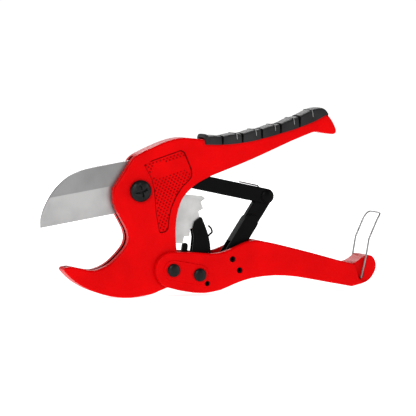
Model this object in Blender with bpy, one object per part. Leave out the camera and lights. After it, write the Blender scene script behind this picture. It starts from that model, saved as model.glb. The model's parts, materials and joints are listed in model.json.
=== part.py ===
"""Ratchet pipe cutter for plastic pipe: a slotted jaw casting, a swinging blade and a pumped lower handle.

The tool stands in the X-Z plane, jaw to -X, handles to +X, with Y across its thickness. Every outline is
given in millimetres as (x, z) about the blade's pivot. The finished tool is then lifted and centred, so that
it stands on the origin. Run with: blender --background --python part.py
"""

import math

import bmesh
import bpy
from mathutils import Matrix, Vector

MM = 0.001

# Places of the joints and pins, as (x, z) about the blade's pivot.
BLADE_PIVOT = Vector((0.0, 0.0))
HANDLE_PIVOT = Vector((20.8, -51.3))
PAWL_PIVOT = Vector((38.6, -54.7))
HOLD_PIVOT = Vector((28.2, -47.2))
UPPER_LINK_PIVOT = Vector((22.0, 9.0))
ELBOW = Vector((87.8, -5.2))
LOWER_LINK_PIVOT = Vector((61.4, -45.3))
LINK_STOP = Vector((66.2, -52.6))
SPRING_PIN = Vector((44.0, -60.6))
LATCH_PIVOT = Vector((151.3, -59.9))

# Clearances.
RUNNING_GAP = 0.35  # between faces that slide on each other
PIN_GAP = 0.3  # between a pin and the wall of its hole
SWING_GAP = 0.6  # round the outside of what swings in a slot

# Body casting.
BODY_HALF = 7.5
BODY_EDGE = 1.5  # rounding of the casting's outer edges
CHEEK = 2.55  # wall left each side of the mechanism bay
ROOF = 3.2  # wall left over the bay
PANEL_DEPTH = 0.6
BODY_EYE_R = 11.3  # boss about the handle pivot
EYE_PAD_R = 8.5  # raised rubbing pad on that boss

# Blade with its ratchet teeth.
BLADE_HALF = 1.4
BLADE_HUB_R = 20.0
BLADE_BOSS_R = 17.0  # solid bosses of the casting that carry the blade
TOOTH_TIP_R = 46.5
TOOTH_ROOT_R = 44.0
TOOTH_PITCH = 8.25  # degrees
TOOTH_COUNT = 6
FIRST_TOOTH = -7.6  # degrees, with the jaw open
TOOTH_FALL = 3.2  # degrees from a tooth's tip down to its root
SECTOR_TOP = -5.5
SECTOR_END = -53.0
BLADE_TRAVEL = 48.0
BLADE_TIP = Vector((-64.6, -22.9))
EDGE_RISE = 9.35  # degrees, slope of the cutting edge with the jaw open
EDGE_HALF = 0.12  # half thickness left at the cutting edge
BEVEL_HEIGHT = 18.0
NOTCH_HALF = 2.2  # half width of the blade's notch round the upper link's pin

# Pivot screw and what is on it.
SCREW_R = 3.8
SCREW_HEAD_R = 7.1
SCREW_HEAD_HEIGHT = 3.4
SCREW_END = 0.7  # thread showing past the nut
BUSH_WALL = 1.5
WASHER_R = 8.0
WASHER_THICK = 0.9
NUT_FLATS = 13.0
NUT_HEIGHT = 3.6
RETURN_SPRING_R = 9.3
RETURN_WIRE_R = 0.55

# Lower handle.
CHANNEL_GAP = 0.9  # between the casting's cheeks and the handle's walls
HANDLE_WALL = 3.6
HANDLE_EDGE = 1.2
HANDLE_EYE_R = 11.8
HANDLE_TRAVEL = 32.0
HANDLE_FLOOR = 3.3
PAD_RISE = 0.7
NECK_STEP = 1.2  # how far the end block's sides lie below the handle's, to carry the latch
POCKET_STEP = 1.2  # and the pocket in them below the end block's

# Rivets and pins.
RIVET_R = 2.5
RIVET_HEAD_R = 4.3
RIVET_HEAD_HEIGHT = 2.1
PIN_R = 1.75
SMALL_PIN_R = 1.5
PIN_BORE_R = 0.9
ELBOW_HEAD_R = 4.0
ELBOW_HEAD_HEIGHT = 1.5
PIN_SINK = 0.7  # how far a pin's end lies below the wall it is pressed in
ANCHOR_SINK = 1.4

# Links and pawls.
LINK_DEPTH = 9.8
LINK_SHEET = 1.5
OPEN_EYE_PLAY = 1.6  # the lower link's eye is loose on its pin, because the linkage is opened there
PAWL_SHEET = 1.25
PAWL_EYE_R = 4.6
PAWL_RATIO = 1.2  # turn of the drive pawl on the handle, for each degree the handle turns
HOLD_HALF = 3.6
HOLD_EYE_R = 3.3
HOLD_WIDTH = 3.7
SPRING_WIRE_R = 0.45

# Latch wire.
WIRE_R = 0.6
WIRE_TOE = 3.6  # length of the wire's ends inside the handle

# Grip.
GRIP_GAP = 0.3
GRIP_WALL = 1.1  # of the grip's sides

FINISHES = {
    "red": ((0.70, 0.004, 0.008), 0.28, 0.0),
    "grip": ((0.018, 0.018, 0.019), 0.55, 0.0),
    "black": ((0.012, 0.012, 0.013), 0.38, 0.2),
    "steel": ((0.45, 0.45, 0.44), 0.32, 1.0),
    "spring": ((0.30, 0.30, 0.30), 0.35, 1.0),
    "bronze": ((0.45, 0.30, 0.14), 0.40, 1.0),
}


# Outlines and points.


def polar(radius, degrees, centre=(0.0, 0.0)):
    angle = math.radians(degrees)
    return Vector((centre[0] + radius * math.cos(angle), centre[1] + radius * math.sin(angle)))


def arc(centre, radius, start, end, steps):
    """Points along an arc from start to end degrees, both ends included."""
    return [polar(radius, start + (end - start) * i / steps, centre) for i in range(steps + 1)]


def circle(centre, radius, steps=28):
    return [polar(radius, 360 * i / steps, centre) for i in range(steps)]


def stadium(a, b, radius, steps=8):
    """Two half circles about a and b, joined by straight sides."""
    way = math.degrees(math.atan2(b[1] - a[1], b[0] - a[0]))
    return arc(b, radius, way - 90, way + 90, steps) + arc(a, radius, way + 90, way + 270, steps)


def curve_through(points, steps=3):
    """A Catmull-Rom curve through the points, both ends included."""
    held = [Vector(p) for p in (points[0], *points, points[-1])]
    run = []
    for a, b, c, d in zip(held, held[1:], held[2:], held[3:]):
        for i in range(steps):
            t = i / steps
            run.append(0.5 * (2 * b + (c - a) * t + (2 * a - 5 * b + 4 * c - d) * t * t
                              + (3 * b - a - 3 * c + d) * t ** 3))
    run.append(held[-1])
    return run


def turned(point, degrees, centre=(0.0, 0.0)):
    """The point turned about a centre, counter-clockwise as seen from -Y."""
    angle = math.radians(degrees)
    x, z = Vector(point) - Vector(centre)
    return Vector(centre) + Vector((x * math.cos(angle) - z * math.sin(angle),
                                    x * math.sin(angle) + z * math.cos(angle)))


def along(start, end, distance, side=0.0):
    """A point at a distance from start towards end, and that far to the left of the way."""
    way = (Vector(end) - Vector(start)).normalized()
    return Vector(start) + way * distance + Vector((-way.y, way.x)) * side


# Solids.


def material(name):
    """The named Principled material, made once."""
    made = bpy.data.materials.get(name)
    if made is None:
        made = bpy.data.materials.new(name)
        made.use_nodes = True
        colour, roughness, metallic = FINISHES[name]
        shader = made.node_tree.nodes["Principled BSDF"]
        shader.inputs["Base Color"].default_value = (*colour, 1.0)
        shader.inputs["Roughness"].default_value = roughness
        shader.inputs["Metallic"].default_value = metallic
    return made


def object_from(bm, name):
    """An object from a bmesh that is in millimetres, with its faces turned outwards."""
    bmesh.ops.recalc_face_normals(bm, faces=bm.faces)
    mesh = bpy.data.meshes.new(name)
    bm.to_mesh(mesh)
    bm.free()
    mesh.transform(Matrix.Scale(MM, 4))
    obj = bpy.data.objects.new(name, mesh)
    bpy.context.scene.collection.objects.link(obj)
    return obj


def inward(points):
    """For each point of a closed outline, the way inwards, as long as is needed to move both its sides by 1 mm."""
    area = sum(a.x * b.y - b.x * a.y for a, b in zip(points, points[1:] + points[:1]))
    turn = 1 if area > 0 else -1
    ways = []
    for before, point, after in zip(points[-1:] + points[:-1], points, points[1:] + points[:1]):
        one = (point - before).normalized()
        other = (after - point).normalized()
        normal = Vector((-one.y - other.y, one.x + other.x)) * turn
        ways.append(normal * 2 / max(normal.length_squared, 0.8))
    return ways


def inset(points, amount):
    """The move of each point that insets the outline, made smaller where the outline bends too tightly for it."""
    ways = inward(points)
    shares = [1.0] * len(points)
    for _ in range(40):
        crossed = False
        for i, (point, before) in enumerate(zip(points, points[-1:] + points[:-1])):
            side = point - before
            moved = side + (ways[i] * shares[i] - ways[i - 1] * shares[i - 1]) * amount
            if moved.dot(side) < 0.04 * side.length_squared:
                shares[i] *= 0.85
                shares[i - 1] *= 0.85
                crossed = True
        if not crossed:
            break
    return [way * share * amount for way, share in zip(ways, shares)]


def plate(name, outline, low, high, rounding=0.0, segments=2):
    """An outline extruded from y = low to y = high, with its rims rounded."""
    points = [Vector(p) for p in outline]
    points = [p for p, before in zip(points, points[-1:] + points[:-1]) if (p - before).length > 1e-3]
    layers = [(0.0, low), (0.0, high)]
    if rounding:
        turns = [math.pi / 2 * i / segments for i in range(segments + 1)]
        bend = [(1 - math.cos(t), rounding * (1 - math.sin(t))) for t in turns]
        layers = [(share, low + drop) for share, drop in reversed(bend)]
        layers += [(share, high - drop) for share, drop in bend]
    moves = inset(points, rounding) if rounding else [Vector((0, 0))] * len(points)
    bm = bmesh.new()
    rings = [[bm.verts.new((p.x + m.x * share, y, p.y + m.y * share)) for p, m in zip(points, moves)]
             for share, y in layers]
    for one, other in zip(rings, rings[1:]):
        for i in range(len(points)):
            bm.faces.new((one[i - 1], one[i], other[i], other[i - 1]))
    bm.faces.new(rings[0])
    bm.faces.new(rings[-1])
    return object_from(bm, name)


def spun(name, centre, profile, steps=28):
    """A closed (radius, y) profile spun about the Y line through centre. A radius of 0 lies on the line."""
    bm = bmesh.new()
    rings = []
    for radius, y in profile:
        if radius == 0:
            rings.append([bm.verts.new((centre[0], y, centre[1]))] * steps)
        else:
            rings.append([bm.verts.new((p.x, y, p.y)) for p in circle(centre, radius, steps)])
    for one, other in zip(rings, rings[1:] + rings[:1]):
        if one[0] is one[1] and other[0] is other[1]:
            continue
        for i in range(steps):
            corners = dict.fromkeys((one[i - 1], one[i], other[i], other[i - 1]))
            bm.faces.new(corners)
    return object_from(bm, name)


def disc(name, centre, radius, low, high, steps=28):
    return spun(name, centre, ((0, low), (radius, low), (radius, high), (0, high)), steps)


def sleeve(name, centre, inner, outer, low, high, steps=28):
    return spun(name, centre, ((inner, low), (outer, low), (outer, high), (inner, high)), steps)


def wire(name, route, radius, sides=8):
    """A round wire along a route of (x, y, z) points, with flat ends."""
    points = [Vector(p) for p in route]
    bm = bmesh.new()
    rings = []
    side = Vector((0, 1, 0))
    for i, point in enumerate(points):
        way = points[min(i + 1, len(points) - 1)] - points[max(i - 1, 0)]
        way.normalize()
        side = side - way * side.dot(way)
        if side.length < 1e-6:
            side = way.orthogonal()
        side.normalize()
        up = way.cross(side)
        bend = way.angle(points[i] - points[i - 1]) if 0 < i < len(points) - 1 else 0.0
        stretch = 1 / math.cos(bend)
        rings.append([bm.verts.new(point + radius * (side * math.cos(a) + up * math.sin(a)) * (
            stretch if stretch < 1.3 else 1.3)) for a in (2 * math.pi * k / sides for k in range(sides))])
    for one, other in zip(rings, rings[1:]):
        for i in range(sides):
            bm.faces.new((one[i - 1], one[i], other[i], other[i - 1]))
    bm.faces.new(rings[0])
    bm.faces.new(rings[-1])
    return object_from(bm, name)


def coil(centre, radius, low, high, turns, start, steps=14):
    """Points of a coil about the Y line through centre."""
    count = round(turns * steps)
    run = []
    for i in range(count + 1):
        p = polar(radius, start + 360 * turns * i / count, centre)
        run.append((p.x, low + (high - low) * i / count, p.y))
    return run


def rounded_route(points, radius, steps=3):
    """A route whose corners are rounded: each is replaced by a short curve."""
    points = [Vector(p) for p in points]
    run = [points[0]]
    for before, corner, after in zip(points, points[1:], points[2:]):
        a = corner + (before - corner).normalized() * min(radius, (before - corner).length / 2)
        b = corner + (after - corner).normalized() * min(radius, (after - corner).length / 2)
        for i in range(steps + 1):
            t = i / steps
            run.append(a * (1 - t) ** 2 + corner * 2 * t * (1 - t) + b * t * t)
    run.append(points[-1])
    return run


def boolean(target, tools, operation):
    for tool in tools:
        step = target.modifiers.new(tool.name, "BOOLEAN")
        step.operation = operation
        step.solver = "EXACT"
        step.object = tool
        bpy.context.view_layer.update()
        graph = bpy.context.evaluated_depsgraph_get()
        mesh = bpy.data.meshes.new_from_object(target.evaluated_get(graph))
        target.modifiers.clear()
        target.data = mesh
        bpy.data.objects.remove(tool, do_unlink=True)
    return target


def cut(target, *tools):
    return boolean(target, tools, "DIFFERENCE")


def join(target, *tools):
    return boolean(target, tools, "UNION")


def hang(obj, name, finish, joint):
    """Names a finished solid, gives it its material, and puts its origin on its joint's axis."""
    obj.name = name
    obj.data.name = name
    place = Vector(joint["place"])
    obj.data.transform(Matrix.Translation((-place.x * MM, 0, -place.y * MM)))
    obj.parent = joint
    obj.data.materials.clear()
    obj.data.materials.append(material(finish))
    obj.data.shade_smooth()
    obj.data.set_sharp_from_angle(angle=math.radians(30))
    return obj


def joint_empty(name, place, parent=None):
    """An empty on a joint's axis, which carries the pieces that turn about it."""
    made = bpy.data.objects.new(name, None)
    bpy.context.scene.collection.objects.link(made)
    made["place"] = tuple(place)
    origin = Vector(parent["place"]) if parent else Vector((0, 0))
    made.parent = parent
    made.location = ((place[0] - origin[0]) * MM, 0, (place[1] - origin[1]) * MM)
    return made


# Body casting.

BAY_HALF = BODY_HALF - CHEEK
GRIP_HALF = BODY_HALF + GRIP_GAP + GRIP_WALL
HANDLE_INNER = BODY_HALF + CHANNEL_GAP
HANDLE_HALF = HANDLE_INNER + HANDLE_WALL
NECK_HALF = HANDLE_HALF - NECK_STEP
POCKET_HALF = NECK_HALF - POCKET_STEP
LATCH_HALF = NECK_HALF + PIN_GAP + WIRE_R
BLADE_SLOT_HALF = BLADE_HALF + RUNNING_GAP
LINK_HALF = BAY_HALF - RUNNING_GAP
TONGUE_HALF = LINK_HALF - LINK_SHEET - PIN_GAP
BLADE_SPAN_HALF = BLADE_HALF + 0.5  # half gap of a fork that straddles the blade
PAWL_GAP_HALF = BLADE_HALF + RUNNING_GAP
PAWL_HALF = PAWL_GAP_HALF + PAWL_SHEET
OPEN_EYE_R = PIN_R + OPEN_EYE_PLAY
EDGE_WAY = polar(1, EDGE_RISE)
EDGE_DROP = abs(BLADE_TIP.x * EDGE_WAY.y - BLADE_TIP.y * EDGE_WAY.x)  # from the pivot to the edge's line
EDGE_HEEL = polar(BLADE_HUB_R, 180 + EDGE_RISE + math.degrees(math.asin(EDGE_DROP / BLADE_HUB_R)))


def handle_top(lift=0.0):
    """The upper handle's top line under the grip, from the jaw's back to the tail."""
    line = [(46.0, 32.5), (58.7, 32.8), (71.3, 34.3), (81.7, 36.5), (94.7, 39.5), (106.0, 43.3),
            (113.0, 46.2), (120.0, 48.8), (125.5, 49.3), (128.4, 48.2)]
    return [Vector((x, z + lift)) for x, z in line]


def body_outline():
    jaw = curve_through([(-49.9, -48.3), (-46.0, -47.7), (-40.6, -48.8), (-34.5, -50.1), (-29.3, -50.3),
                         (-22.0, -47.6), (-16.3, -43.4), (-9.8, -36.4), (-7.7, -31.0), (-8.6, -25.3),
                         (-11.4, -19.8), (-14.3, -14.6)])
    front = curve_through([(-14.3, -14.6), (-16.7, -9.5), (-17.7, -5.0), (-17.5, 1.6)])
    crown = curve_through([(-4.9, 20.4), (-2.0, 22.9), (3.0, 25.4), (10.0, 28.5), (18.0, 31.6), (25.5, 33.5),
                           (32.0, 33.8), (40.0, 32.9), (46.0, 32.5)], 2)
    tail = curve_through([(128.4, 48.2), (130.6, 46.4), (132.9, 43.2), (135.2, 38.4), (135.1, 35.9),
                          (132.9, 34.9), (126.4, 35.7), (121.7, 36.6), (117.8, 35.9), (104.2, 30.8)], 2)
    under = curve_through([(104.2, 30.8), (76.4, 19.1), (56.0, 11.5), (46.9, 8.0), (39.1, 4.0), (33.1, -0.8),
                           (28.4, -6.6), (25.4, -15.4), (24.3, -25.1), (24.5, -33.5), (25.0, -39.0)])
    lug = [(28.8, -41.6), (31.8, -45.5), (32.4, -49.5)]
    eye = arc(HANDLE_PIVOT, BODY_EYE_R, 0, -95, 8)
    belly = curve_through([(12.6, -65.2), (7.6, -67.0), (-6.0, -68.9), (-19.7, -67.6), (-33.3, -63.2),
                           (-43.5, -57.4), (-50.2, -50.9)])
    return jaw + front[1:] + crown + handle_top()[1:] + tail[1:] + under[1:] + lug + eye + belly + [(-50.9, -49.5)]


def bay_outline():
    """The hollow behind the cheeks: round the blade's boss, out of the back, and along the upper handle."""
    roof = [p - Vector((0, ROOF)) for p in handle_top()[6::-1]]
    crown = [Vector((x, z - ROOF)) for x, z in ((38.0, 33.2), (30.0, 33.8), (22.0, 32.6), (14.0, 30.1),
                                                 (8.0, 27.4))]
    boss = arc(BLADE_PIVOT, BLADE_BOSS_R + RUNNING_GAP, 76, -54, 16)
    floor = [(19.5, -34.0), (21.0, -41.5)] + arc(HOLD_PIVOT, HOLD_EYE_R + SWING_GAP, 165, 275, 6)
    outside = [(45.0, -51.4), (62.0, -20.0), (114.0, 20.0), (118.5, 30.0)]
    return roof + crown + boss + floor + outside


def blade_slot_tools():
    """The narrow slot that the blade and its toothed sector swing through."""
    heel = turned(EDGE_HEEL, BLADE_TRAVEL)
    tip = turned(BLADE_TIP, BLADE_TRAVEL)
    reach = BLADE_TIP.length + SWING_GAP * 0.75
    tip_angle = math.degrees(math.atan2(tip.y, tip.x)) + 360
    heel_side = along(heel, tip, 0, SWING_GAP)
    tip_side = along(heel, tip, (tip - heel).length, SWING_GAP)
    jaw = [along(heel, tip, -6, SWING_GAP), heel_side, tip_side]
    jaw += arc(BLADE_PIVOT, reach, tip_angle - 1, 180, 18)
    jaw += [(-90, 40), (-3.0, 40), (-3.0, 4.0)]
    top = SECTOR_TOP + BLADE_TRAVEL + 1.2
    sector = [Vector((4, 4))] + arc(BLADE_PIVOT, TOOTH_TIP_R + SWING_GAP, SECTOR_END - 1.5, top - 1.2, 24)
    sector += [polar(TOOTH_ROOT_R, top)]
    half = BLADE_SLOT_HALF
    return [plate("jaw_slot", jaw, -half, half), plate("sector_slot", sector, -half, half),
            disc("hub_slot", BLADE_PIVOT, BLADE_HUB_R + SWING_GAP, -half, half, 56)]


def panel_outline():
    """The recessed panel on each cheek."""
    return ([(2.6, 16.6), (8.0, 19.6), (27.6, 26.0), (30.2, 24.6)]
            + [(35.0, 13.4), (35.3, 9.0), (33.4, 6.2), (28.8, 2.0), (24.6, -4.2), (21.2, -11.6), (19.6, -19.0),
               (19.0, -25.0), (17.2, -26.9), (13.6, -27.6), (12.6, -26.4), (10.4, -14.0), (9.3, 0.0), (7.6, 7.4)])


def make_body(joint):
    body = plate("body", body_outline(), -BODY_HALF, BODY_HALF, BODY_EDGE, 3)
    pad_half = HANDLE_INNER - RUNNING_GAP
    join(body, disc("eye_pad", HANDLE_PIVOT, EYE_PAD_R, -pad_half, pad_half, 36))
    cut(body, plate("bay", bay_outline(), -BAY_HALF, BAY_HALF), *blade_slot_tools())
    for side in (-1, 1):
        low, high = sorted((side * (BODY_HALF - PANEL_DEPTH), side * (BODY_HALF + 2)))
        cut(body, plate("panel", panel_outline(), low, high))
        low, high = sorted((side * (BLADE_HALF - 0.5), side * (BLADE_HALF + 2 * PIN_GAP + WASHER_THICK)))
        cut(body, disc("washer_seat", BLADE_PIVOT, WASHER_R + PIN_GAP, low, high, 36))
    low = BLADE_HALF
    cut(body, sleeve("spring_groove", BLADE_PIVOT, WASHER_R, RETURN_SPRING_R + RETURN_WIRE_R + SWING_GAP,
                     low, BODY_HALF - 1.6, 40))
    wide = BODY_HALF + 5
    cut(body, disc("screw_hole", BLADE_PIVOT, SCREW_R + PIN_GAP, -wide, wide, 32),
        disc("rivet_hole", HANDLE_PIVOT, RIVET_R + PIN_GAP, -wide, wide),
        disc("hold_hole", HOLD_PIVOT, SMALL_PIN_R + PIN_GAP, -wide, wide, 20),
        disc("anchor_hole", UPPER_LINK_PIVOT, SMALL_PIN_R + PIN_GAP, -BODY_HALF + ANCHOR_SINK, wide, 20))
    return hang(body, "body_casting", "red", joint)


def grip_top():
    return [(129.2, 50.3), (126.4, 52.0), (121.2, 51.9), (117.0, 50.6), (111.7, 48.5), (106.1, 46.1),
            (94.7, 42.2), (81.7, 39.1), (71.3, 36.9), (58.7, 35.4), (43.6, 35.1)]


def grip_foot():
    return [(44.0, 29.1), (55.8, 28.9), (69.8, 30.0), (83.2, 32.5), (96.7, 36.0), (110.2, 39.9), (118.8, 43.2),
            (129.4, 48.4)]


def make_grip(joint):
    """The soft grip: a saddle over the upper handle, with stepped ribs."""
    outline = curve_through(grip_foot(), 2) + curve_through(grip_top(), 2)
    grip = plate("grip", outline, -GRIP_HALF, GRIP_HALF, 1.6, 3)
    saddle = [(35, 31.8 + GRIP_GAP)] + handle_top(GRIP_GAP) + [(131.5, 45.6), (131.5, 10.0), (35.0, 10.0)]
    half = BODY_HALF + GRIP_GAP
    cut(grip, plate("saddle", saddle, -half, half))
    return hang(grip, "handle_grip", "grip", joint)


# Blade and its pivot.


def blade_outline():
    front = curve_through([BLADE_TIP, (-64.4, -17.0), (-62.4, -10.8), (-59.2, -4.6), (-55.2, 1.2), (-50.6, 5.9),
                           (-45.6, 9.7), (-40.0, 12.5), (-34.0, 14.4), (-29.0, 15.4)])
    hub = arc(BLADE_PIVOT, BLADE_HUB_R, 99, SECTOR_TOP, 16)
    pin_r = UPPER_LINK_PIVOT.length
    pin_angle = math.degrees(math.atan2(UPPER_LINK_PIVOT.y, UPPER_LINK_PIVOT.x))
    notch_end = pin_angle - BLADE_TRAVEL - math.degrees((SMALL_PIN_R - NOTCH_HALF + 3) / pin_r)
    notch = arc(BLADE_PIVOT, pin_r - NOTCH_HALF, SECTOR_TOP, notch_end, 8)
    notch += arc(polar(pin_r, notch_end), NOTCH_HALF, notch_end + 180, notch_end + 360, 8)[1:-1]
    notch += arc(BLADE_PIVOT, pin_r + NOTCH_HALF, notch_end, SECTOR_TOP, 8)
    teeth = [polar(TOOTH_ROOT_R, SECTOR_TOP)]
    for i in range(TOOTH_COUNT):
        tip = FIRST_TOOTH - i * TOOTH_PITCH
        teeth += [polar(TOOTH_TIP_R - 0.25, tip + 0.6), polar(TOOTH_TIP_R, tip), polar(TOOTH_ROOT_R, tip - TOOTH_FALL)]
    end = [polar(TOOTH_ROOT_R - 1, SECTOR_END)]
    heel = math.degrees(math.atan2(EDGE_HEEL.y, EDGE_HEEL.x))
    return front + hub + notch + teeth + end + arc(BLADE_PIVOT, BLADE_HUB_R, SECTOR_END, heel, 12)


def bevel_tool(side):
    """The wedge ground off one side of the blade: from nothing at the bevel's top to the thin cutting edge."""
    spare = 2.0
    slope = (BLADE_HALF - EDGE_HALF) / BEVEL_HEIGHT
    # Corners as (height above the edge, y).
    corners = [(-spare, EDGE_HALF - slope * spare), (BEVEL_HEIGHT, BLADE_HALF), (BEVEL_HEIGHT, BLADE_HALF + spare),
               (-spare, BLADE_HALF + spare)]
    far = along(EDGE_HEEL, BLADE_TIP, (BLADE_TIP - EDGE_HEEL).length + 25)
    bm = bmesh.new()
    ends = []
    for at in (EDGE_HEEL, far):
        # Seen from the heel, the blade lies to the right of the way to the tip.
        ends.append([bm.verts.new((p.x, side * y, p.y)) for p, y in (
            (at + (-EDGE_WAY).orthogonal() * height * -1, y) for height, y in corners)])
    bm.faces.new(ends[0])
    bm.faces.new(ends[1])
    for i in range(len(corners)):
        bm.faces.new((ends[0][i - 1], ends[0][i], ends[1][i], ends[1][i - 1]))
    return object_from(bm, "bevel")


def make_blade(joint):
    blade = plate("blade_plate", blade_outline(), -BLADE_HALF, BLADE_HALF)
    cut(blade, disc("bush_hole", BLADE_PIVOT, SCREW_R + 2 * PIN_GAP + BUSH_WALL, -5, 5, 32),
        bevel_tool(-1), bevel_tool(1))
    return hang(blade, "blade", "steel", joint)


def make_pivot_stack(joint, blade_joint):
    inner = SCREW_R + PIN_GAP
    bush_half = BLADE_HALF - 0.1
    bush = sleeve("bush", BLADE_PIVOT, inner, inner + BUSH_WALL, -bush_half, bush_half, 32)
    hang(bush, "blade_bush", "bronze", blade_joint)
    for name, side in (("front_pivot_washer", -1), ("rear_pivot_washer", 1)):
        low, high = sorted((side * (BLADE_HALF + PIN_GAP), side * (BLADE_HALF + PIN_GAP + WASHER_THICK)))
        hang(sleeve(name, BLADE_PIVOT, inner, WASHER_R, low, high, 32), name, "steel", joint)
    seat = BODY_HALF + PIN_GAP
    top = seat + SCREW_HEAD_HEIGHT
    end = seat + NUT_HEIGHT + SCREW_END
    screw = spun("screw", BLADE_PIVOT, (
        (0, -top), (SCREW_HEAD_R * 0.45, -top + 0.1), (SCREW_HEAD_R * 0.8, -top + 0.6),
        (SCREW_HEAD_R * 0.97, -top + 1.6), (SCREW_HEAD_R, -top + 2.4), (SCREW_HEAD_R, -seat), (SCREW_R, -seat),
        (SCREW_R, end - 0.6), (SCREW_R - 0.6, end), (0, end)), 36)
    for angle in (18, 108):
        a, b = polar(3.4, angle), polar(3.4, angle + 180)
        cut(screw, plate("cross", stadium(a, b, 0.75, 4), -top - 1, -top + 1.9))
    hang(screw, "pivot_screw", "black", joint)
    nut = plate("nut", circle(BLADE_PIVOT, NUT_FLATS / 2 / math.cos(math.radians(30)), 6), seat, seat + NUT_HEIGHT,
                0.5, 1)
    cut(nut, disc("thread", BLADE_PIVOT, inner, 0, 30, 28))
    hang(nut, "pivot_nut", "black", joint)


def make_return_spring(joint):
    low = BLADE_HALF + PIN_GAP + RETURN_WIRE_R
    turns = 2.0
    pitch = 2 * RETURN_WIRE_R + PIN_GAP
    spring = wire("spring", coil(BLADE_PIVOT, RETURN_SPRING_R, low, low + pitch * turns, turns, 200),
                  RETURN_WIRE_R, 6)
    hang(spring, "blade_return_spring", "spring", joint)


# Lower handle.


def handle_floor():
    return [(43.0, -66.8), (53.3, -65.2), (62.9, -61.5), (74.5, -58.1), (90.5, -56.7), (106.5, -58.0),
            (128.1, -62.2), (145.0, -65.4)]


def handle_outline():
    eye = arc(HANDLE_PIVOT, HANDLE_EYE_R, 248, 78, 14)
    top = curve_through([(27.0, -39.8), (36.0, -40.2), (46.1, -41.2), (52.5, -40.9), (58.7, -39.2), (65.0, -36.7),
                         (71.2, -34.3), (77.0, -33.5), (85.0, -34.5), (95.8, -37.0), (117.2, -42.6),
                         (136.6, -48.1), (146.0, -50.3)], 2)
    end = curve_through([(146.0, -50.3), (150.5, -48.2), (155.0, -45.3), (159.6, -45.8), (162.2, -51.0),
                         (160.8, -57.0), (155.5, -62.6), (145.0, -65.4)])
    bottom = curve_through(handle_floor()[::-1], 2) + curve_through([(43.0, -66.8), (35.0, -66.4), (25.1, -64.6)], 2)[1:]
    return eye + top + end[1:] + bottom[1:]


def make_lower_handle(joint):
    handle = plate("handle", handle_outline(), -HANDLE_HALF, HANDLE_HALF, HANDLE_EDGE, 2)
    face = HANDLE_HALF + PAD_RISE
    for side in (-1, 1):
        low, high = sorted((side * (HANDLE_HALF - 1), side * face))
        join(handle, plate("pad", stadium(HANDLE_PIVOT, PAWL_PIVOT, 6.6), low, high, 0.4, 1))
    raised = [Vector((x, z + HANDLE_FLOOR)) for x, z in handle_floor()[:-1]]
    channel = ([(-10, -80), (29.5, -80), (31.5, -63.4)] + raised
               + [(139.0, -60.4), (141.0, -52.0), (141.0, -25), (-10, -25)])
    cut(handle, plate("channel", channel, -HANDLE_INNER, HANDLE_INNER))
    neck = [(146.2, -49.4), (150.0, -61.4), (152.8, -62.6), (156.0, -61.8), (170, -68), (170, -38), (146.2, -38)]
    pocket = [(146.6, -50.6), (149.0, -44.0), (154.8, -42.0), (153.2, -58.9), (151.3, -61.2), (150.2, -60.2)]
    wide = HANDLE_HALF + 4
    for side in (-1, 1):
        for name, outline, half in (("neck", neck, NECK_HALF), ("pocket", pocket, POCKET_HALF)):
            low, high = sorted((side * half, side * wide))
            cut(handle, plate(name, outline, low, high))
    cut(handle,
        disc("pivot_hole", HANDLE_PIVOT, RIVET_R + PIN_GAP, -wide, wide),
        disc("pawl_hole", PAWL_PIVOT, RIVET_R + PIN_GAP, -wide, wide),
        disc("link_hole", LOWER_LINK_PIVOT, PIN_R + PIN_GAP, -wide, wide, 20),
        disc("stop_hole", LINK_STOP, PIN_R + PIN_GAP, -wide, wide, 20),
        disc("spring_hole", SPRING_PIN, SMALL_PIN_R + PIN_GAP, -wide, wide, 20))
    for side in (-1, 1):
        low, high = sorted((side * (LATCH_HALF - WIRE_TOE - PIN_GAP), side * wide))
        cut(handle, disc("latch_hole", LATCH_PIVOT, WIRE_R + PIN_GAP, low, high, 16))
    return hang(handle, "lower_handle", "red", joint)


def make_rivet(name, centre, joint):
    """A rivet with a domed head on each side."""
    seat = HANDLE_HALF + PAD_RISE + PIN_GAP
    dome = [(RIVET_HEAD_R * math.cos(a), seat + 0.4 + (RIVET_HEAD_HEIGHT - 0.4) * math.sin(a))
            for a in (math.radians(d) for d in (0, 22, 45, 68))]
    front = [(0, -seat - RIVET_HEAD_HEIGHT)] + [(r, -y) for r, y in reversed(dome)]
    front += [(RIVET_HEAD_R, -seat), (RIVET_R, -seat)]
    back = [(RIVET_R, seat), (RIVET_HEAD_R, seat)] + dome + [(0, seat + RIVET_HEAD_HEIGHT)]
    return hang(spun(name, centre, front + back, 28), name, "black", joint)


def make_roll_pin(name, centre, radius, half, joint):
    """A rolled spring pin: a tube with a slit along it."""
    pin = sleeve(name, centre, PIN_BORE_R, radius, -half, half, 20)
    slit = [(centre[0] - 0.25, centre[1]), (centre[0] + 0.25, centre[1]), (centre[0] + 0.25, centre[1] + radius + 1),
            (centre[0] - 0.25, centre[1] + radius + 1)]
    cut(pin, plate("slit", slit, -half - 1, half + 1))
    return hang(pin, name, "black", joint)


# Pawls.


def drive_pawl_outline():
    lower = [along(PAWL_PIVOT, (49.6, -41.5), 9, -3), (49.4, -42.0)]
    right = curve_through([(49.4, -42.0), (49.3, -37.0), (48.2, -31.0), (46.4, -25.4), (43.6, -18.4)])
    left = [(42.6, -17.9), (38.5, -20.7), (37.0, -26.0), (37.9, -31.0), (37.2, -38.0), (34.6, -50.4)]
    return arc(PAWL_PIVOT, PAWL_EYE_R, 160, 330, 10) + lower + right[1:] + left


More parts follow.
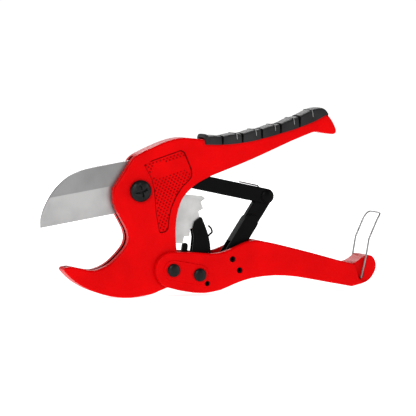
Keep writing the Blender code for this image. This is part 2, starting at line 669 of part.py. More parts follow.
def make_drive_pawl(joint):
    """A folded steel pawl: two side plates that straddle the ratchet and the holding pawl, joined at the back."""
    pawl = plate("pawl", drive_pawl_outline(), -PAWL_HALF, PAWL_HALF, 0.35, 1)
    half = PAWL_GAP_HALF
    for step in range(5):
        turn = HANDLE_TRAVEL * step / 4
        blade_centre = turned(turned(BLADE_PIVOT, -turn, HANDLE_PIVOT), PAWL_RATIO * turn, PAWL_PIVOT)
        cut(pawl, disc("ratchet_gap", blade_centre, TOOTH_TIP_R + SWING_GAP, -half, half, 72))
    back = [(48.2, -15), (46.6, -24.0), (46.4, -47.0), (60, -47), (60, -15)]
    front = [(20, -20), (42.0, -20), (42.0, -44.0), (39.0, -48.5), (36.2, -51.0), (36.2, -60.0), (20, -60.0)]
    cut(pawl, plate("back_gap", back, -half, half), plate("front_gap", front, -half, half),
        disc("eye", PAWL_PIVOT, RIVET_R + PIN_GAP, -9, 9))
    return hang(pawl, "drive_pawl", "black", joint)


def make_drive_pawl_spring(joint):
    """A torsion spring beside the pawl: its long leg climbs the pawl's back and ends in a bent tab."""
    near = -PAWL_HALF - 2 * SPRING_WIRE_R - 0.4
    turns = 2.5
    radius = RIVET_R + PIN_GAP + 0.2 + SPRING_WIRE_R
    pitch = 2 * SPRING_WIRE_R + 0.25
    start = 138
    run = coil(PAWL_PIVOT, radius, near - pitch * turns, near, turns, start)
    toe = polar(radius, start, PAWL_PIVOT) + polar(3.0, start - 90)
    leg = [(50.7, near, -43.4), (50.7, 0, -42.2), (47.5, 0, -39.0), (47.5, 0, -32.6), (48.9, 0, -30.2),
           (51.5, 0, -28.2), (50.7, 0, -25.6), (48.8, 0, -23.8)]
    leg = rounded_route(leg, 0.9)
    spring = wire("spring", [(toe.x, run[0][1], toe.y)] + run + leg, SPRING_WIRE_R, 6)
    return hang(spring, "drive_pawl_spring", "spring", joint)


def make_holding_pawl(joint):
    """A pawl with a thin post that passes between the drive pawl's plates."""
    tip = Vector((32.55, -36.45))
    knee = Vector((31.9, -42.0))
    half = HOLD_WIDTH / 2
    outline = (arc(HOLD_PIVOT, HOLD_EYE_R, 150, 350, 10) + [knee + Vector((half, -0.6))]
               + arc(tip, half, 0, 180, 8) + [knee + Vector((-half, 1.4))])
    pawl = plate("hold", outline, -BLADE_HALF, BLADE_HALF, 0.3, 1)
    join(pawl, disc("hub", HOLD_PIVOT, HOLD_EYE_R, -HOLD_HALF, BLADE_HALF + 0.1, 24))
    cut(pawl, disc("eye", HOLD_PIVOT, SMALL_PIN_R + PIN_GAP, -9, 9, 20))
    return hang(pawl, "holding_pawl", "black", joint)


def make_holding_pawl_spring(joint):
    low = BLADE_HALF + 0.1 + PIN_GAP + SPRING_WIRE_R
    run = coil(HOLD_PIVOT, SMALL_PIN_R + PIN_GAP + SPRING_WIRE_R + 0.1, low, low + 1.8, 1.5, 20, 12)
    spring = wire("spring", run, 0.4, 6)
    return hang(spring, "holding_pawl_spring", "spring", joint)


# Toggle links.


def make_upper_link(joint):
    """A channel-shaped link: forked round the blade at one end and round the lower link at the other."""
    half = LINK_DEPTH / 2
    link = plate("link", stadium(UPPER_LINK_PIVOT, ELBOW, half, 10), -LINK_HALF, LINK_HALF, 0.5, 2)
    length = (ELBOW - UPPER_LINK_PIVOT).length
    fork = [along(UPPER_LINK_PIVOT, ELBOW, d, s) for d, s in ((-9, -9), (27, -9), (27, 9), (-9, 9))]
    trough = [along(UPPER_LINK_PIVOT, ELBOW, d, s) for d, s in (
        (25, -9), (25, half - LINK_SHEET), (length - 10, half - LINK_SHEET), (length - 7.4, 9), (length + 9, 9),
        (length + 9, -9))]
    inner = LINK_HALF - LINK_SHEET
    cut(link, plate("fork", fork, -BLADE_SPAN_HALF, BLADE_SPAN_HALF), plate("trough", trough, -inner, inner),
        disc("pivot_hole", UPPER_LINK_PIVOT, SMALL_PIN_R + PIN_GAP, -9, 9, 20),
        disc("elbow_hole", ELBOW, SMALL_PIN_R + PIN_GAP, -9, 9, 20))
    return hang(link, "upper_link", "black", joint)


def make_lower_link(joint):
    """A bar with a tongue at the elbow and a fork at the handle, whose eye is loose on its pin."""
    half = LINK_DEPTH / 2
    link = plate("bar", stadium(ELBOW, LOWER_LINK_PIVOT, half, 10), -TONGUE_HALF, TONGUE_HALF, 0.4, 1)
    length = (LOWER_LINK_PIVOT - ELBOW).length
    wide = LINK_HALF + 0.3
    shoulder = along(ELBOW, LOWER_LINK_PIVOT, 12)
    join(link, plate("cheeks", stadium(along(ELBOW, LOWER_LINK_PIVOT, 20), LOWER_LINK_PIVOT, half, 10), -wide, wide,
                     0.5, 2))
    fork = [along(ELBOW, LOWER_LINK_PIVOT, d, s) for d, s in (
        (length - 10.5, -9), (length + 9, -9), (length + 9, 9), (length - 10.5, 9))]
    inner = PAWL_HALF + 0.4
    cut(link, plate("fork", fork, -inner, inner), disc("elbow_hole", ELBOW, SMALL_PIN_R + PIN_GAP, -9, 9, 20),
        disc("spring_room", ELBOW, 6.2, -1.35, 1.35, 24),
        disc("open_eye", LOWER_LINK_PIVOT, OPEN_EYE_R, -9, 9, 24))
    return hang(link, "lower_link", "black", joint)


def make_elbow_spring(joint):
    """A torsion spring in the elbow, with a leg that lies along the top of the upper link."""
    radius = SMALL_PIN_R + PIN_GAP + SPRING_WIRE_R + 0.3
    run = coil(ELBOW, radius, -0.75, 0.75, 1.75, -150)
    half = LINK_DEPTH / 2
    rise = half + SPRING_WIRE_R + 0.35
    leg = [along(ELBOW, UPPER_LINK_PIVOT, d, -rise) for d in (6.0, 19.0)]
    route = run + [(leg[0].x, 0.75, leg[0].y), (leg[1].x, 0.75, leg[1].y)]
    return hang(wire("spring", route, SPRING_WIRE_R, 6), "elbow_spring", "spring", joint)


def make_solid_pin(name, centre, radius, low, high, joint):
    pin = spun(name, centre, ((0, low), (radius - 0.3, low), (radius, low + 0.3), (radius, high - 0.3),
                              (radius - 0.3, high), (0, high)), 20)
    return hang(pin, name, "black", joint)


def make_elbow_pin(joint):
    """The elbow's pin, with a domed head outside each side of the upper link."""
    seat = LINK_HALF + PIN_GAP
    dome = [(ELBOW_HEAD_R * math.cos(a), seat + 0.3 + (ELBOW_HEAD_HEIGHT - 0.3) * math.sin(a))
            for a in (math.radians(d) for d in (0, 25, 50, 72))]
    profile = [(0, -seat - ELBOW_HEAD_HEIGHT)] + [(r, -y) for r, y in reversed(dome)]
    profile += [(ELBOW_HEAD_R, -seat), (SMALL_PIN_R, -seat), (SMALL_PIN_R, seat), (ELBOW_HEAD_R, seat)] + dome
    return hang(spun("pin", ELBOW, profile + [(0, seat + ELBOW_HEAD_HEIGHT)], 28), "elbow_pin", "black", joint)


# Latch.


def make_latch(joint):
    """A bent wire loop: two legs beside the end block, joined by a bar, with toes in the block's holes."""
    leg = [LATCH_PIVOT, (154.9, -45.3), (156.9, -34.0), (162.8, -21.2)]
    # The half width falls by these amounts round the corner of the top bar.
    corner = [(164.8, 0.6, -18.4), (165.8, 3.4, -17.2)]
    toe = LATCH_HALF - WIRE_TOE
    half = [(LATCH_PIVOT.x, toe, LATCH_PIVOT.y)] + [(x, LATCH_HALF, z) for x, z in leg]
    half += [(x, LATCH_HALF - drop, z) for x, drop, z in corner]
    route = [(x, -y, z) for x, y, z in half] + half[::-1]
    latch = wire("latch", rounded_route(route, 1.3), WIRE_R, 8)
    return hang(latch, "latch_wire", "spring", joint)


def stand_on_origin(root):
    """Moves the whole tool so that the middle of its foot is at the origin."""
    bpy.context.view_layer.update()
    corners = [obj.matrix_world @ Vector(corner) for obj in bpy.data.objects if obj.type == "MESH"
               for corner in obj.bound_box]
    xs, ys, zs = zip(*corners)
    root.location -= Vector(((min(xs) + max(xs)) / 2, (min(ys) + max(ys)) / 2, min(zs)))
    bpy.context.view_layer.update()


def main():
    for obj in list(bpy.data.objects):
        bpy.data.objects.remove(obj, do_unlink=True)
    root = joint_empty("tool", BLADE_PIVOT)
    blade_joint = joint_empty("blade_pivot", BLADE_PIVOT, root)
    handle_joint = joint_empty("handle_pivot", HANDLE_PIVOT, root)
    pawl_joint = joint_empty("drive_pawl_pivot", PAWL_PIVOT, handle_joint)
    hold_joint = joint_empty("holding_pawl_pivot", HOLD_PIVOT, root)
    upper_joint = joint_empty("upper_link_pivot", UPPER_LINK_PIVOT, root)
    elbow_joint = joint_empty("elbow", ELBOW, upper_joint)
    latch_joint = joint_empty("latch_hinge", LATCH_PIVOT, handle_joint)

    make_body(root)
    make_grip(root)
    make_blade(blade_joint)
    make_pivot_stack(root, blade_joint)
    make_return_spring(root)
    make_lower_handle(handle_joint)
    make_rivet("handle_rivet", HANDLE_PIVOT, root)
    make_rivet("pawl_rivet", PAWL_PIVOT, handle_joint)
    make_drive_pawl(pawl_joint)
    make_drive_pawl_spring(pawl_joint)
    make_holding_pawl(hold_joint)
    make_holding_pawl_spring(hold_joint)
    make_upper_link(upper_joint)
    make_lower_link(elbow_joint)
    make_elbow_spring(upper_joint)

    wall_half = HANDLE_HALF - PIN_SINK
    make_elbow_pin(upper_joint)
    make_solid_pin("upper_link_pin", UPPER_LINK_PIVOT, SMALL_PIN_R, -BODY_HALF + ANCHOR_SINK + PIN_GAP,
                   BODY_HALF - PANEL_DEPTH - 0.1, root)
    make_solid_pin("holding_pawl_pin", HOLD_PIVOT, SMALL_PIN_R, -BODY_HALF + 0.1, BODY_HALF - 0.1, root)
    make_roll_pin("lower_link_pin", LOWER_LINK_PIVOT, PIN_R, wall_half, handle_joint)
    make_roll_pin("link_stop_pin", LINK_STOP, PIN_R, wall_half, handle_joint)
    make_roll_pin("pawl_spring_pin", SPRING_PIN, SMALL_PIN_R, wall_half, handle_joint)
    make_latch(latch_joint)
    stand_on_origin(root)


main()
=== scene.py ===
"""Dresses the ratchet pipe cutter: fine surfaces, finishes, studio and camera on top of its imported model.

Lengths inside the classes are millimetres about the blade's pivot, with x along the handles, y across the
tool and z up, as in the CAD, whose sizes are estimates. Workbench turns them into the scene's metres.
"""

import json
import logging
import math
from dataclasses import dataclass, field
from enum import Enum

import bmesh
import bpy
import numpy as np
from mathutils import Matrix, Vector


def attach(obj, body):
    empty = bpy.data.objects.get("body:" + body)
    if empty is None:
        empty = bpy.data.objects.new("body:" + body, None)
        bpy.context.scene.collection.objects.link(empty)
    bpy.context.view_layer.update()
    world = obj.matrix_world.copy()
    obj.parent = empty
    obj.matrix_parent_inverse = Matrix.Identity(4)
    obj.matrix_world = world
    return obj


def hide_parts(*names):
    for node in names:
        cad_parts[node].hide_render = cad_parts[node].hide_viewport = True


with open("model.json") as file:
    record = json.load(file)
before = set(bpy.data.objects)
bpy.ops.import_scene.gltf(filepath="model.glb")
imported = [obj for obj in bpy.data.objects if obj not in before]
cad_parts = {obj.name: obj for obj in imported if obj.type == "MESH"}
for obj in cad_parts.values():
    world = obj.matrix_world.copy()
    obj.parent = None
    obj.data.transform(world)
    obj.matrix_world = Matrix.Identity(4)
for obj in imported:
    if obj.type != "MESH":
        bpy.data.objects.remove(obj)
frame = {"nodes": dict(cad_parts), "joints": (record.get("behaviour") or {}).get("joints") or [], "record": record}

LOG = logging.getLogger("pipe_cutter")
Array = np.ndarray
Shape = tuple[Array, list]
Point2 = tuple[float, float]
Triple = tuple[float, float, float]

# Millimetres in a metre; heights of the noise between which colour and gloss change; metres of relief for a
# grain of 1 mm; and a direction that no wire starts along.
MM = 1000.0
CLOUD_SPAN = (0.35, 0.62)
GLOSS_SPAN = (0.3, 0.7)
GRAIN_DEPTH = 0.0002
SKEW = (0.31, 0.17, 0.93)
RANGE_SOCKETS = ("From Min", "From Max", "To Min", "To Max")


# Finishes.


class Grain(Enum):
    """How the fine relief of a finish runs: its scale along x, y and z."""

    EVEN = (1.0, 1.0, 1.0)
    BRUSHED = (1.0, 0.6, 0.045)
    DRAWN = (1.0, 1.0, 0.1)


@dataclass(frozen=True)
class Finish:
    """A procedural finish with cloudy colour, uneven gloss and a fine relief.

    Attributes:
        name: The material's name.
        colour: Main colour, linear.
        shade: Colour of the cloudy patches, linear.
        roughness: Lowest and highest roughness.
        metallic: 1 for bare metal.
        grain: How the relief runs.
        grain_mm: Size of one grain.
        relief: Strength of the relief, 0 to 1.
        specular: Specular level of a dielectric.
        ior: Index of refraction, which sets how strongly edges mirror.
        patch_mm: Size of one cloudy patch.
    """

    name: str
    colour: Triple
    shade: Triple
    roughness: Point2
    metallic: float = 0.0
    grain: Grain = Grain.EVEN
    grain_mm: float = 1.0
    relief: float = 0.1
    specular: float = 0.5
    ior: float = 1.5
    patch_mm: float = 18.0

    def material(self) -> bpy.types.Material:
        """Makes the material, or gives the one already made.

        Returns:
            The Blender material.
        """
        made = bpy.data.materials.get(self.name)
        if made is not None:
            return made
        made = bpy.data.materials.new(self.name)
        made.use_nodes = True
        tree = made.node_tree
        shader = tree.nodes["Principled BSDF"]
        shader.inputs["Metallic"].default_value = self.metallic
        shader.inputs["IOR"].default_value = self.ior
        shader.inputs["Specular IOR Level"].default_value = self.specular
        place = tree.nodes.new("ShaderNodeTexCoord")
        patches = self.noise(tree, place, MM / self.patch_mm, 3.0, Grain.EVEN)
        self.mix_colour(tree, patches, shader)
        gloss = tree.nodes.new("ShaderNodeMapRange")
        for socket, value in zip(RANGE_SOCKETS, (*GLOSS_SPAN, *self.roughness)):
            gloss.inputs[socket].default_value = value
        grain = self.noise(tree, place, MM / self.grain_mm, 4.0, self.grain)
        tree.links.new(grain.outputs["Fac"], gloss.inputs["Value"])
        tree.links.new(gloss.outputs["Result"], shader.inputs["Roughness"])
        bump = tree.nodes.new("ShaderNodeBump")
        bump.inputs["Strength"].default_value = self.relief
        bump.inputs["Distance"].default_value = self.grain_mm * GRAIN_DEPTH
        tree.links.new(grain.outputs["Fac"], bump.inputs["Height"])
        tree.links.new(bump.outputs["Normal"], shader.inputs["Normal"])
        return made

    def mix_colour(self, tree: bpy.types.NodeTree, patches: bpy.types.Node, shader: bpy.types.Node) -> None:
        """Blends the two colours by the patches.

        Args:
            tree: The material's nodes.
            patches: The noise that places the patches.
            shader: The shader whose base colour is set.
        """
        ramp = tree.nodes.new("ShaderNodeValToRGB")
        for stop, place, tint in zip(ramp.color_ramp.elements, CLOUD_SPAN, (self.shade, self.colour)):
            stop.position = place
            stop.color = (*tint, 1.0)
        tree.links.new(patches.outputs["Fac"], ramp.inputs["Fac"])
        tree.links.new(ramp.outputs["Color"], shader.inputs["Base Color"])

    @staticmethod
    def noise(tree: bpy.types.NodeTree, place: bpy.types.Node, scale: float, detail: float,
              grain: Grain) -> bpy.types.Node:
        """A noise on the piece's own coordinates.

        Args:
            tree: The material's nodes.
            place: The texture coordinates.
            scale: Noise cells per metre.
            detail: Octaves.
            grain: How the noise is stretched.

        Returns:
            The noise node.
        """
        mapping = tree.nodes.new("ShaderNodeMapping")
        mapping.inputs["Scale"].default_value = grain.value
        made = tree.nodes.new("ShaderNodeTexNoise")
        made.inputs["Scale"].default_value = scale
        made.inputs["Detail"].default_value = detail
        tree.links.new(place.outputs["Object"], mapping.inputs["Vector"])
        tree.links.new(mapping.outputs["Vector"], made.inputs["Vector"])
        return made


RED_ENAMEL = Finish("red_enamel", (0.62, 0.0010, 0.0018), (0.54, 0.0008, 0.0015), (0.22, 0.32),
                    grain_mm=1.3, ior=1.09)
# Darker red for the panel studs: painted shade, since the studs carry the casting's own red.
STUD_PAINTED_SHADE = Finish("stud_painted_shade", (0.30, 0.0008, 0.001), (0.22, 0.0006, 0.0008), (0.34, 0.46),
                   grain_mm=0.8, relief=0.15, ior=1.1, patch_mm=6.0)
# Dark red for the bead round each panel: a painted shadow at the foot of the panel's wall.
PANEL_WALL_SHADOW = Finish("panel_wall_shadow", (0.13, 0.0005, 0.0008), (0.10, 0.0004, 0.0006), (0.34, 0.46),
                  grain_mm=0.8, relief=0.15, ior=1.1, patch_mm=6.0)
GRIP_RUBBER = Finish("grip_rubber", (0.026, 0.026, 0.027), (0.016, 0.016, 0.017), (0.34, 0.5),
                     grain_mm=0.25, relief=0.35, ior=1.12)
# Near-black rubber for the faces deep in the grip's grooves: painted shade in the grooves.
GRIP_GROOVE_PAINTED_SHADE = Finish("grip_groove_painted_shade", (0.003, 0.003, 0.003), (0.002, 0.002, 0.002), (0.5, 0.6),
                       grain_mm=0.25, relief=0.3, specular=0.3, ior=1.12)
# Light grey rubber for the fine ridges: a painted highlight along them on the black rubber.
RIDGE_PAINTED_HIGHLIGHT = Finish("ridge_painted_highlight", (0.22, 0.22, 0.22), (0.16, 0.16, 0.16), (0.34, 0.5),
                      grain_mm=0.25, relief=0.35, specular=0.4)
BLACK_STEEL = Finish("black_steel", (0.0022, 0.0022, 0.0024), (0.0014, 0.0014, 0.0015), (0.26, 0.4),
                     grain_mm=0.3, relief=0.25, ior=1.13, patch_mm=8.0)
SCREW_BLACK = Finish("screw_black", (0.014, 0.014, 0.0145), (0.008, 0.008, 0.0085), (0.3, 0.42),
                     metallic=0.75, grain_mm=0.25, relief=0.3, ior=1.4, patch_mm=4.0)
# Near-black red for the walls of the blade slot in the casting: painted shade for the deep slot.
SLOT_PAINTED_SHADE = Finish("slot_painted_shade", (0.02, 0.001, 0.0012), (0.012, 0.0008, 0.001), (0.5, 0.65),
                    grain_mm=0.5, relief=0.3, specular=0.2, ior=1.2, patch_mm=6.0)
BLADE_STEEL = Finish("satin_blade", (0.27, 0.27, 0.27), (0.21, 0.21, 0.21), (0.30, 0.44),
                     metallic=1.0, grain=Grain.BRUSHED, grain_mm=0.9, relief=0.12, patch_mm=30.0)
BEVEL_STEEL = Finish("bevel_steel", (0.40, 0.40, 0.398), (0.31, 0.31, 0.31), (0.32, 0.42),
                     metallic=1.0, grain=Grain.DRAWN, grain_mm=0.7, relief=0.15, patch_mm=26.0)
TOOTH_STEEL = Finish("tooth_steel", (0.52, 0.52, 0.515), (0.42, 0.42, 0.415), (0.35, 0.5),
                     metallic=1.0, grain_mm=0.5, relief=0.2, patch_mm=9.0)
SPRING_STEEL = Finish("spring_wire", (0.26, 0.26, 0.26), (0.18, 0.18, 0.18), (0.22, 0.38),
                      metallic=1.0, grain=Grain.DRAWN, grain_mm=0.3, relief=0.15, patch_mm=5.0)
ZINC = Finish("zinc_plate", (0.42, 0.42, 0.40), (0.34, 0.34, 0.33), (0.3, 0.42),
              metallic=1.0, grain_mm=0.4, relief=0.15, patch_mm=4.0)
BRONZE = Finish("sintered_bronze", (0.34, 0.21, 0.09), (0.26, 0.15, 0.06), (0.4, 0.55),
                metallic=1.0, grain_mm=0.2, relief=0.4, patch_mm=3.0)


# Surfaces.


def grid_faces(rows: int, columns: int, wrap: bool) -> Array:
    """Quads between neighbouring rows and columns of a grid of points, as corner numbers.

    Args:
        rows: Points along the first parameter.
        columns: Points along the second parameter.
        wrap: True where the last column joins the first.

    Returns:
        One row of four corner numbers for each quad.
    """
    last = columns if wrap else columns - 1
    r, c = np.meshgrid(np.arange(rows - 1), np.arange(last), indexing="ij")
    here, across = r * columns + c, r * columns + (c + 1) % columns
    return np.stack([here, across, across + columns, here + columns], -1).reshape(-1, 4)


def closed_tube(rings: Array) -> Shape:
    """A tube through rings of points, with a flat cap at each end.

    Args:
        rings: Points as (ring, place round the ring, xyz).

    Returns:
        The points and the faces.
    """
    count, around = rings.shape[:2]
    faces = grid_faces(count, around, True).tolist()
    faces.append(list(range(around)))
    faces.append(list(range((count - 1) * around, count * around)))
    return rings.reshape(-1, 3), faces


def swept_round(path: Array, radius: float | Array, sides: int = 16) -> Shape:
    """A round wire: a circle carried along a path, turned as little as possible between stations.

    Args:
        path: Stations as (n, 3).
        radius: Radius, one for all or one for each station.
        sides: Points round the wire.

    Returns:
        The points and the faces.
    """
    way = np.gradient(path, axis=0)
    way /= np.linalg.norm(way, axis=1, keepdims=True)
    side = np.empty_like(way)
    side[0] = np.cross(way[0], SKEW)
    side[0] /= np.linalg.norm(side[0])
    for i in range(1, len(path)):
        held = side[i - 1] - way[i] * np.dot(side[i - 1], way[i])
        side[i] = held / np.linalg.norm(held)
    up = np.cross(way, side)
    turn = np.linspace(0, 2 * np.pi, sides, endpoint=False)
    size = np.broadcast_to(np.asarray(radius, float), (len(path),))[:, None, None]
    ring = side[:, None, :] * np.cos(turn)[None, :, None] + up[:, None, :] * np.sin(turn)[None, :, None]
    return closed_tube(path[:, None, :] + size * ring)


def rounded_path(corners: list, bend: float, steps: int = 8) -> Array:
    """A path whose corners are rounded with parabolas.

    Args:
        corners: Corner points as xyz.
        bend: How far from each corner the bend starts, at most.
        steps: Stations in each bend.

    Returns:
        Stations as (n, 3).
    """
    points = np.asarray(corners, float)
    run = [points[:1]]
    share = np.linspace(0, 1, steps)[:, None]
    for before, corner, after in zip(points[:-2], points[1:-1], points[2:]):
        start = corner + (before - corner) * min(bend / np.linalg.norm(before - corner), 0.5)
        end = corner + (after - corner) * min(bend / np.linalg.norm(after - corner), 0.5)
        run.append(start * (1 - share) ** 2 + 2 * corner * share * (1 - share) + end * share**2)
    run.append(points[-1:])
    return np.concatenate(run)


def helix(centre: Point2, radius: float, low: float, high: float, turns: float, start: float,
          per_turn: int = 40) -> Array:
    """Stations of a coil about the y line through centre: a circle that climbs evenly from low to high.

    Args:
        centre: The line's x and z.
        radius: Radius of the coil's middle.
        low: First y.
        high: Last y.
        turns: Number of turns.
        start: First angle in degrees.
        per_turn: Stations in one turn.

    Returns:
        Stations as (n, 3).
    """
    share = np.linspace(0, 1, int(turns * per_turn))
    angle = np.radians(start) + 2 * np.pi * turns * share
    x, z = centre[0] + radius * np.cos(angle), centre[1] + radius * np.sin(angle)
    return np.stack([x, low + (high - low) * share, z], 1)


def turned_shape(profile: list, centre: Point2, steps: int = 72) -> Shape:
    """A solid of revolution: a (radius, y) profile spun about the y line through centre.

    Args:
        profile: Points from one end to the other. The end radii are above zero and are closed by flat caps.
        centre: The line's x and z.
        steps: Points round the shape.

    Returns:
        The points and the faces.
    """
    line = np.asarray(profile, float)
    turn = np.linspace(0, 2 * np.pi, steps, endpoint=False)
    x = centre[0] + line[:, :1] * np.cos(turn)[None, :]
    z = centre[1] + line[:, :1] * np.sin(turn)[None, :]
    y = np.broadcast_to(line[:, 1:], x.shape)
    return closed_tube(np.stack([x, y, z], -1))


def smooth_line(points: list, count: int) -> Array:
    """A smooth curve through points: cubic pieces with averaged slopes, at even shares of the chord length.

    Args:
        points: Points as xz pairs.
        count: Number of stations.

    Returns:
        Stations as (count, 2).
    """
    line = np.asarray(points, float)
    gaps = np.linalg.norm(np.diff(line, axis=0), axis=1)
    at = np.concatenate([[0], np.cumsum(gaps)])
    slope = np.gradient(line, at, axis=0)
    where = np.linspace(0, at[-1], count)
    i = np.clip(np.searchsorted(at, where, side="right") - 1, 0, len(gaps) - 1)
    h = gaps[i][:, None]
    t = ((where - at[i]) / gaps[i])[:, None]
    return ((2 * t**3 - 3 * t**2 + 1) * line[i] + (t**3 - 2 * t**2 + t) * h * slope[i]
            + (3 * t**2 - 2 * t**3) * line[i + 1] + (t**3 - t**2) * h * slope[i + 1])


# Bench: from drawing to scene.


@dataclass
class Workbench:
    """Places drawn surfaces and dressed nodes in the scene.

    Attributes:
        pivot: The blade pivot's place in metres.
        weld: Corners of a node closer than this many metres are joined.
        flat: Neighbouring faces of a node that bend less than this many degrees are joined.
    """

    pivot: Array = field(default_factory=lambda: np.array(
        next(joint for joint in frame["joints"] if joint["name"] == "blade_pivot")["pos_m"]))
    weld: float = 2e-6
    flat: float = 0.4

    def add(self, name: str, shape: Shape, finish: Finish, body: str, slot: str,
            nodes: tuple[str, ...] = (), sharp: float = 40.0) -> bpy.types.Object:
        """Makes a piece from a drawn surface.

        Args:
            name: The piece's name.
            shape: Its points in millimetres and its faces.
            finish: What it is made of.
            body: The body it rides on.
            slot: The record's material slot.
            nodes: CAD nodes that it stands for.
            sharp: Edges that bend more than this many degrees stay sharp.

        Returns:
            The piece.
        """
        points, faces = shape
        mesh = bpy.data.meshes.new(name)
        mesh.from_pydata((points / MM + self.pivot).tolist(), [], faces)
        turned = bmesh.new()
        turned.from_mesh(mesh)
        bmesh.ops.recalc_face_normals(turned, faces=turned.faces)
        turned.to_mesh(mesh)
        turned.free()
        return self.finish_piece(name, mesh, finish, body, slot, nodes, sharp)

    def dress(self, node: str, finish: Finish, slot: str, sharp: float = 34.0,
              bevel: float = 0.0) -> bpy.types.Object:
        """Makes a smooth-shaded piece from a copy of a CAD node.

        Args:
            node: The CAD node.
            finish: What it is made of.
            slot: The record's material slot.
            sharp: Edges that bend more than this many degrees stay sharp.
            bevel: Width in millimetres of a small bevel on the sharp edges.

        Returns:
            The piece.
        """
        mesh = frame["nodes"][node].data.copy()
        merged = bmesh.new()
        merged.from_mesh(mesh)
        bmesh.ops.remove_doubles(merged, verts=merged.verts, dist=self.weld)
        flat = math.radians(self.flat)
        bmesh.ops.dissolve_limit(merged, angle_limit=flat, verts=merged.verts, edges=merged.edges)
        merged.to_mesh(mesh)
        merged.free()
        bodies = frame["record"]["behaviour"]["bodies"]
        body = next(rider for rider, nodes in bodies.items() if node in nodes)
        made = self.finish_piece(node + "_surface", mesh, finish, body, slot, (node,), sharp)
        if bevel:
            step = made.modifiers.new("edge", "BEVEL")
            step.width = bevel / MM
            step.segments = 2
            step.limit_method = "ANGLE"
            step.angle_limit = math.radians(sharp)
            step.harden_normals = True
        weights = made.modifiers.new("weights", "WEIGHTED_NORMAL")
        weights.keep_sharp = not bevel
        return made

    @staticmethod
    def finish_piece(name: str, mesh: bpy.types.Mesh, finish: Finish, body: str, slot: str,
                     nodes: tuple[str, ...], sharp: float) -> bpy.types.Object:
        """Gives a mesh its material, shading and place in the model.

        Args:
            name: The piece's name.
            mesh: Its mesh.
            finish: What it is made of.
            body: The body it rides on.
            slot: The record's material slot. Not used.
            nodes: CAD nodes that it stands for.
            sharp: Edges that bend more than this many degrees stay sharp.

        Returns:
            The piece.
        """
        mesh.name = name
        mesh.materials.clear()
        mesh.materials.append(finish.material())
        mesh.shade_smooth()
        mesh.set_sharp_from_angle(angle=math.radians(sharp))
        made = bpy.data.objects.new(name, mesh)
        bpy.context.scene.collection.objects.link(made)
        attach(made, body)
        if nodes:
            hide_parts(*nodes)
        LOG.info("%s on %s: %d faces", name, body, len(mesh.polygons))
        return made


